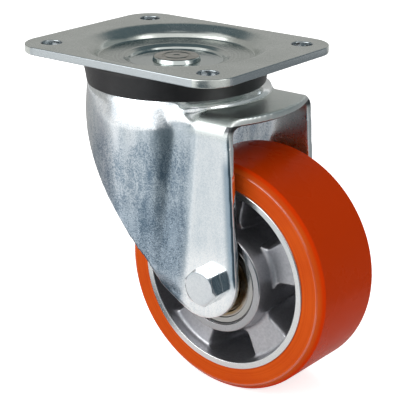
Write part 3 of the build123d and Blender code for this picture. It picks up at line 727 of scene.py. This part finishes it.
def fork(slots):
    """The pressed fork with the soft bends and slightly rolled edges of drawn sheet."""
    steps, pull = 22, 0.5
    edge_steps, edge_pull = 6, 0.3  # for the held points, which rolls the cut edges a little
    piece = voxel_copy("pressed_fork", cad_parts["fork"], 0.85)
    mesh = piece.data
    count = len(mesh.vertices)
    co = np.empty(count * 3)
    mesh.vertices.foreach_get("co", co)
    co = co.reshape(-1, 3) / MM
    pairs = np.empty(len(mesh.edges) * 2, int)
    mesh.edges.foreach_get("vertices", pairs)
    a, b = pairs.reshape(-1, 2).T
    valence = np.bincount(a, minlength=count) + np.bincount(b, minlength=count)
    swell_neck(co)
    share = smoothing_share(*co.T)[:, None]
    for step in range(steps):
        total = np.zeros_like(co)
        np.add.at(total, a, co[b])
        np.add.at(total, b, co[a])
        co += pull * share * (total / valence[:, None] - co)
        if step < edge_steps:
            co += edge_pull * (1 - share) * (total / valence[:, None] - co)
    mesh.vertices.foreach_set("co", (co * MM).ravel())
    for polygon in mesh.polygons:
        polygon.use_smooth = True
    mesh.update()
    finish_piece(piece, "fork", "fork_zinc", slots, "fork")


# ---- wheel --------------------------------------------------------------------------------
def pocket_depth(radius, angle, first):
    """How open a pocket is at a place on one side of the web, from 0 on a land to 1 over a floor."""
    middle, reach, corner = 38.4, 7.9, 3.2  # middle radius, half the radial length, corner radius
    half_width = radians(20.6)
    wall = radians(9.0) * 38.0 / radius  # the sloping wall is as wide as 9 degrees at a radius of 38
    sector = 2 * pi / POCKETS
    from_middle = (angle - first + sector / 2) % sector - sector / 2
    # The pocket narrows along its rounded corners at the hub's and the rim's ends.
    over = max(0.0, abs(radius - middle) - (reach - corner)) / corner
    half_width -= (1.0 - sqrt(max(0.0, 1.0 - min(1.0, over) ** 2))) * corner / radius
    return max(0.0, min(1.0, (half_width - abs(from_middle)) / wall))


def ease(share, start=0.34, end=0.26):
    """From 0 to 1 along a straight wall with rounded edges at its head and foot."""
    scale = 1.0 - start / 2 - end / 2
    if share < start:
        return share * share / (2 * start) / scale
    if share > 1.0 - end:
        return 1.0 - (1.0 - share) ** 2 / (2 * end) / scale
    return (share - start / 2) / scale


def wheel_side(side):
    """Rows of one side of the wheel, from inside the bearing seat out to the rim's edge."""
    segments, bands = 400, 30
    land, floor = 19.0, -12.6  # heights of the lands and the pockets' floors over the middle plane
    fillet = 2.6  # at the hub and the rim
    first = radians(-14.0 if side < 0 else -14.0 + 180.0 / POCKETS)  # the far side's pockets lie between these
    hub = rounded([(21.02, 0.0), (21.02, 14.98), (23.52, 14.98), (23.52, HUB_HALF - 0.9), (24.4, HUB_HALF),
                   (28.0, HUB_HALF), (28.9, 25.0)], [0, 0, 0, 0.3, 0.3, 0.9, 0], 4, closed=False)
    rim = rounded([(46.7, 22.5), (46.85, RIM_HALF), (50.3, RIM_HALF), (50.3, 0.0)], [0, 0.5, 0.5, 0], 4,
                  closed=False)
    web = []
    for i in range(bands + 1):
        radius = WEB_IN + (WEB_OUT - WEB_IN) * (0.5 - 0.5 * cos(pi * i / bands))
        root = max(0.0, min(fillet, radius - WEB_IN, WEB_OUT - radius))
        rise = fillet - sqrt(fillet ** 2 - (fillet - root) ** 2)
        opened = [ease(pocket_depth(radius, 2 * pi * k / segments, first)) for k in range(segments)]
        web.append([(radius, land + (floor - land) * share + rise) for share in opened])
    return [[point] * segments for point in hub] + web + [[point] * segments for point in rim]


def wheel_centre(slots):
    """Die-cast centre: hub, rim, and a web with pockets from both sides."""
    verts, faces = [], []
    for side in (-1, 1):
        rows = [mirrored(row, side) for row in wheel_side(side)]
        start = len(verts)
        verts.extend(row_points(rows))
        faces.extend(tuple(start + v for v in face) for face in grid_faces(len(rows), len(rows[0])))
    piece = mesh_object("cast_wheel", verts, faces)
    close_up(piece, 55.0)
    finish_piece(piece, "wheel", "wheel_aluminium", slots, "wheel_centre")


def tyre(slots):
    """Moulded tyre with bevelled shoulders whose edges are slightly rounded."""
    inside = 50.32
    half = [(inside, 0.0), (inside, TYRE_HALF), (TYRE_RADIUS - TYRE_BEVEL, TYRE_HALF),
            (TYRE_RADIUS, TYRE_HALF - TYRE_BEVEL), (TYRE_RADIUS, 0.0)]
    near = rounded(half, [0, 0.5, 0.6, 1.2, 0], 8, closed=False)
    piece = turned("moulded_tyre", near + mirrored(near[::-1][1:-1], -1), on_axle, 256, 60.0)
    finish_piece(piece, "wheel", "tyre_polyurethane", slots, "tyre")


# ---- bearings, bolt and nut -----------------------------------------------------------------
def bearings(slots):
    """The outer ring, with its V-shaped groove, and the pressed shield of both bearings."""
    segments = 128
    inside, outside, end = 19.2, 23.5, BEARING_OUT
    groove = [(inside, 25.0), (21.2, 23.2), (21.2, 20.8), (inside, 19.0)]
    ring = [(inside, BEARING_IN), (outside, BEARING_IN), (outside, end), (20.32, end),
            (20.32, end - 1.12), (inside, end - 1.12)] + groove
    ring = rounded(ring, [0.3, 0.3, 0.8, 0.3], 4)
    shield = [(14.8, end - 1.45), (15.6, end - 1.6), (17.2, end - 1.6), (17.8, end - 1.15),
              (20.3, end - 1.1), (20.3, end - 0.6), (18.1, end - 0.65), (17.3, end - 1.15),
              (15.7, end - 1.15), (14.8, end - 1.0)]
    shield = rounded(shield, [0.1, 0.2, 0.3, 0.3, 0.1, 0.2, 0.35, 0.35, 0.25, 0.1], 4)
    for side, word in ((-1, "left"), (1, "right")):
        piece = turned(f"race_ring_{word}", mirrored(ring, side), on_axle, segments)
        finish_piece(piece, "wheel", "bearing_steel", slots, f"outer_ring_{word}")
        piece = turned(f"pressed_shield_{word}", mirrored(shield, side), on_axle, segments)
        finish_piece(piece, "wheel", "bearing_steel", slots, f"bearing_shield_{word}")


def hexagon_rows(base, tip, vertex):
    """Rows of a chamfered hexagon from its tip's centre to its base, with a corner at the vertex angle."""
    corner = HEX_FLATS / sqrt(3)
    chamfer = tan(radians(30))
    blunt = 0.12
    toward = 1.0 if tip > base else -1.0

    def wall(k):
        """Radius of the hexagon's side, its corners slightly blunted."""
        folded = (360.0 * k / HEX_STEPS - vertex + 30.0) % 60.0 - 30.0
        raw = HEX_FLATS / 2 / cos(radians(30.0 - abs(folded)))
        return min(raw, corner - blunt + 0.02 * abs(folded))

    def height(radius):
        return tip - toward * max(0.0, radius - HEX_FACE) * chamfer

    walls = [wall(k) for k in range(HEX_STEPS)]
    # The round face, its edge, the chamfer's edge and the wall, with small steps that round the edges.
    rows = [[(radius, tip)] * HEX_STEPS for radius in (0.0, HEX_FACE - 1.2, HEX_FACE - 0.25)]
    rows.append([(HEX_FACE + 0.1, tip - toward * 0.06)] * HEX_STEPS)
    rows.append([(w - 0.12, height(w - 0.12) - toward * 0.02) for w in walls])
    rows.append([(w, height(w) - toward * 0.14) for w in walls])
    rows.append([(w, base + toward * 0.42) for w in walls])
    rows.append([(w - 0.36, base) for w in walls])
    return rows


def thread_radius(along, angle):
    """Radius of an M12 thread's ridge."""
    pitch, depth = 1.75, 0.95
    wave = (along / pitch - angle / (2 * pi)) % 1.0
    return THREAD_CREST - depth * min(1.0, max(0.0, abs(wave - 0.5) * 2.6 - 0.15))


def hexagon_piece(name, rows, node, slots):
    """Bolt or nut from closed rows round the axle."""
    piece = mesh_object(name, row_points(rows), grid_faces(len(rows), HEX_STEPS))
    close_up(piece, 50.0)
    finish_piece(piece, "fork", "bolt_zinc", slots, node)


def axle_bolt(slots):
    """Hexagon bolt with a bare head and an M12 thread on the end past the nut."""
    shank, thread_start, end, point = 6.0, 46.0, 50.92, 1.2
    steps = 34
    head_height, head_turn = 7.5, 46.875
    rows = hexagon_rows(-SEAT, -SEAT - head_height, head_turn)
    rows.append([(shank, -SEAT)] * HEX_STEPS)
    rows.append([(shank, thread_start)] * HEX_STEPS)
    for i in range(1, steps + 1):
        along = thread_start + (end - thread_start) * i / steps
        limit = THREAD_CREST - max(0.0, along - (end - point))  # the end's 45 degree point
        ridge = [thread_radius(along, 2 * pi * k / HEX_STEPS) for k in range(HEX_STEPS)]
        rows.append([(min(radius, limit), along) for radius in ridge])
    rows.append([(0.0, end)] * HEX_STEPS)
    hexagon_piece("hex_bolt", rows, "axle_bolt", slots)


def axle_nut(slots):
    """Self-locking nut: a hexagon whose tip carries a round collar for the nylon ring."""
    tip, collar, bore, nut_turn = SEAT + 9.0, 48.42, 6.02, 20.0
    rows = hexagon_rows(SEAT, tip, nut_turn)[::-1][:-3]  # from the seat to the tip, without its flat middle
    line = [(8.4, tip - 0.05), (8.4, collar), (7.0, collar), (7.0, collar - 0.4), (7.62, collar - 0.42),
            (7.62, tip - 0.02), (bore, tip - 0.02), (bore, SEAT)]
    line = rounded(line, [0, 1.2, 0.2], 5, closed=False)
    rows.extend([point] * HEX_STEPS for point in line)
    rows.append(rows[0])
    hexagon_piece("lock_nut", rows, "axle_nut", slots)


# ---- floor, cards, lamps and world ---------------------------------------------------------------
# The rays that see the white background: the camera's, and those it sends on by mirrors and glass.
SEEN = ("Is Camera Ray", "Is Glossy Ray", "Is Transmission Ray")

# Low wall of cards round the set: azimuth from -Y towards +X, its colour, and the height of its top.
WALL = [
    (-180, (0.40, 0.40, 0.40), -52), (-125, (0.44, 0.43, 0.42), -52), (-90, (0.44, 0.44, 0.44), -52),
    (-72, (0.42, 0.43, 0.44), -54), (-58, (0.46, 0.46, 0.48), -56), (-46, (0.60, 0.62, 0.64), -64),
    (-38, (1.00, 1.02, 1.04), -72), (-32, (0.92, 0.94, 0.96), -72), (-27, (0.66, 0.72, 0.76), -72),
    (-19, (0.76, 0.79, 0.81), -72), (-11, (0.82, 0.86, 0.89), -70), (-3, (0.62, 0.68, 0.72), -66),
    (4, (0.66, 0.72, 0.77), -62), (10, (0.48, 0.54, 0.58), -56), (15, (0.20, 0.25, 0.28), -48),
    (21, (0.10, 0.13, 0.15), -22), (33, (0.06, 0.09, 0.11), -22), (62, (0.08, 0.11, 0.13), -50),
    (76, (0.50, 0.51, 0.52), -46), (98, (0.44, 0.44, 0.44), -34), (116, (0.28, 0.30, 0.31), -30),
    (150, (0.26, 0.28, 0.29), -30), (172, (0.34, 0.34, 0.34), -40),
]
WALL_RADIUS, WALL_TOP = 205.0, -15.0

# Cards on spheres round the set: name, azimuths, elevations, radius, colour, and the soft edge in degrees.
CARDS = [
    ("left_card", (-182.0, -50.0), (-30.0, 48.0), 1500.0, (0.46, 0.46, 0.45), 8.0),
    ("upper_left_card", (-142.0, -76.0), (34.0, 62.0), 1300.0, (0.09, 0.12, 0.13), 8.0),
    ("far_card", (-236.0, -92.0), (30.0, 88.0), 1250.0, (0.10, 0.14, 0.16), 10.0),
    ("zenith_card", (-200.0, 200.0), (62.0, 90.0), 1200.0, (0.11, 0.14, 0.16), 9.0),
    ("back_card", (106.0, 182.0), (-30.0, 44.0), 1500.0, (0.36, 0.39, 0.39), 8.0),
    ("upper_back_card", (112.0, 176.0), (36.0, 70.0), 1300.0, (0.13, 0.17, 0.18), 8.0),
    ("low_right_card", (8.0, 63.0), (-9.0, 8.0), 1250.0, (0.06, 0.09, 0.11), 9.0),
    ("low_back_card", (118.0, 158.0), (-8.0, 16.0), 1300.0, (0.06, 0.09, 0.11), 5.0),
    ("front_card", (-50.0, 28.0), (-9.0, 44.0), 1300.0, (1.60, 1.61, 1.63), 6.0),
]

# Lamps: name, azimuth, elevation, distance, width and height in metres, watts, and whether mirrors see it.
LAMPS = [
    ("key", -14.0, 28.0, 1.2, 1.3, 0.8, 7.5, True),
    ("side", 94.0, 34.0, 1.4, 0.35, 0.9, 2.0, True),
    ("back", 200.0, 50.0, 1.5, 0.7, 0.7, 3.5, False),
    ("left", -100.0, 55.0, 1.2, 0.5, 0.5, 2.2, False),
]
AIM = (0.02, 0.0, -0.08)  # metres


def paper_floor():
    """White paper that holds a soft shadow, with a glow that lights nothing."""
    reach, z = 4000, FLOOR - 0.05  # just under the tyre
    corners = [(-reach, -reach, z), (reach, -reach, z), (reach, reach, z), (-reach, reach, z)]
    floor = mesh_object("floor", corners, [(0, 1, 2, 3)], False)
    n = new_material("floor_paper")
    n.tree.nodes.clear()
    glow_for_all, more_for_camera = 0.12, 0.62  # enough for the camera to see the lit paper as white
    paper = n.add("ShaderNodeBsdfDiffuse", Color=(0.88, 0.88, 0.88, 1.0))
    level = n.plus(n.times(n.rays(*SEEN), glow_for_all), n.times(n.rays(SEEN[0]), more_for_camera))
    glow = n.add("ShaderNodeEmission", Strength=level)
    both = n.add("ShaderNodeAddShader")
    n.put(both, 0, paper.outputs[0])
    n.put(both, 1, glow.outputs[0])
    n.add("ShaderNodeOutputMaterial", Surface=both.outputs[0])
    floor.data.materials.append(n.owner)


def card(name, verts, faces, paint):
    """A studio card that only mirrors see: it lights nothing and shades nothing."""
    piece = mesh_object(name, verts, faces, False)
    n = new_material(name)
    n.tree.nodes.clear()
    colour, share = paint(n)
    blend = n.add("ShaderNodeMixShader")
    n.put(blend, 0, share)
    n.put(blend, 1, n.add("ShaderNodeBsdfTransparent").outputs[0])
    n.put(blend, 2, n.add("ShaderNodeEmission", Color=colour).outputs[0])
    n.add("ShaderNodeOutputMaterial", Surface=blend.outputs[0])
    piece.data.materials.append(n.owner)
    piece.visible_camera = False
    piece.visible_diffuse = False
    piece.visible_shadow = False
    piece.visible_transmission = False


def wall_ramp(n, turn, stops):
    """Colour ramp over the azimuth, given as a share of the full turn."""
    ramp = n.tree.nodes.new("ShaderNodeValToRGB")
    ramp.color_ramp.interpolation = "EASE"
    elements = ramp.color_ramp.elements
    while len(elements) > 1:
        elements.remove(elements[-1])
    for k, (azimuth, colour) in enumerate(stops):
        at = (azimuth + 180) / 360
        stop = elements[0] if k == 0 else elements.new(at)
        stop.position = at
        stop.color = colour + (1.0,)
    n.put(ramp, 0, turn)
    return ramp.outputs[0]


def card_wall():
    """The low wall, its upper edge soft and following the tops in WALL."""
    count, soft, scale = 96, 9.0, 100.0  # scale keeps the tops within a colour ramp's 0 to 1
    rows = [[(WALL_RADIUS, z)] * count for z in (FLOOR, WALL_TOP)]

    def paint(n):
        x, y, z = n.split(n.place())
        turn = n.plus(n.math("DIVIDE", n.math("ARCTAN2", x, n.times(y, -1.0)), 2 * pi), 0.5)
        colour = wall_ramp(n, turn, [(azimuth, shade) for azimuth, shade, _ in WALL])
        level = wall_ramp(n, turn, [(azimuth, (-top / scale,) * 3) for azimuth, _, top in WALL])
        below = n.minus(n.times(level, -scale * MM), z)
        return colour, n.ramp(below, -soft, soft)

    card("card_wall", row_points(rows, on_swivel), grid_faces(2, count), paint)


def sphere_card(name, azimuths, elevations, radius, shade, soft):
    """A soft-edged grey card on part of a sphere round the set."""
    columns, rows = 32, 12
    verts, faces = [], []
    for j in range(rows + 1):
        elevation = min(elevations[0] + (elevations[1] - elevations[0]) * j / rows, 89.9)
        for i in range(columns + 1):
            azimuth = azimuths[0] + (azimuths[1] - azimuths[0]) * i / columns
            verts.append([radius * c for c in direction(azimuth, elevation)])
    for j in range(rows):
        for i in range(columns):
            k = j * (columns + 1) + i
            faces.append((k, k + 1, k + columns + 2, k + columns + 1))
    middle = radians(sum(azimuths) / 2)
    half = radians(azimuths[1] - azimuths[0]) / 2

    def paint(n):
        x, y, z = n.split(n.place())
        across = n.plus(n.times(x, cos(middle)), n.times(y, sin(middle)))
        along = n.minus(n.times(x, sin(middle)), n.times(y, cos(middle)))
        turn = n.math("ABSOLUTE", n.math("ARCTAN2", across, along))
        rise = n.math("ARCSINE", n.math("DIVIDE", z, radius * MM))
        share = n.remap(turn, half, half - radians(soft), smooth=True)
        for edge, inside in ((elevations[0], soft), (elevations[1], -soft)):
            share = n.times(share, n.remap(rise, radians(edge), radians(edge + inside), smooth=True))
        return shade + (1.0,), share

    card(name, verts, faces, paint)


def floor_card():
    """A dark round sheet lying beside the set, mirrored in what faces down."""
    count, outer, inner = 48, 62.0, 34.0
    centre = (-66.0, -66.0)

    def paint(n):
        x, y = n.split(n.place())[:2]
        away = n.hypot(n.minus(x, centre[0] * MM), n.minus(y, centre[1] * MM))
        return (0.10, 0.13, 0.15, 1.0), n.ramp(away, outer, inner)

    card("floor_card", circle_loop(*centre, outer, FLOOR + 0.1, count), [tuple(range(count))], paint)


def lamp(name, azimuth, elevation, distance, width, height, watts, in_mirrors):
    """A soft box that faces the set."""
    data = bpy.data.lights.new(name, "AREA")
    data.shape = "RECTANGLE"
    data.size = width
    data.size_y = height
    data.energy = watts
    box = bpy.data.objects.new(name, data)
    away = Vector(direction(azimuth, elevation))
    box.location = Vector(AIM) + away * distance
    box.rotation_euler = away.to_track_quat("Z", "Y").to_euler()
    box.visible_glossy = in_mirrors
    bpy.context.scene.collection.objects.link(box)


def studio():
    """White paper, the cards that the metal mirrors, four lamps and a white world."""
    paper_floor()
    card_wall()
    floor_card()
    for row in CARDS:
        sphere_card(*row)
    for row in LAMPS:
        lamp(*row)
    world = bpy.data.worlds.new("world")
    bpy.context.scene.world = world
    n = Nodes(world)
    background = n.tree.nodes["Background"]
    n.put(background, "Color", (1.0, 1.0, 1.0, 1.0))
    as_light, as_seen = 0.46, 1.0
    n.put(background, "Strength", n.remap(n.rays(*SEEN), 0.0, 1.0, as_light, as_seen))


make_camera()
slots = make_materials()
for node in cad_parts.values():
    for index, material in enumerate(node.data.materials):
        node.data.materials[index] = slots[material.name.split(".")[0]]
top_plate(slots)
king_pin(slots)
dust_seal(slots)
fork(slots)
wheel_centre(slots)
tyre(slots)
bearings(slots)
axle_bolt(slots)
axle_nut(slots)
studio()
bpy.context.scene.view_settings.view_transform = "Standard"
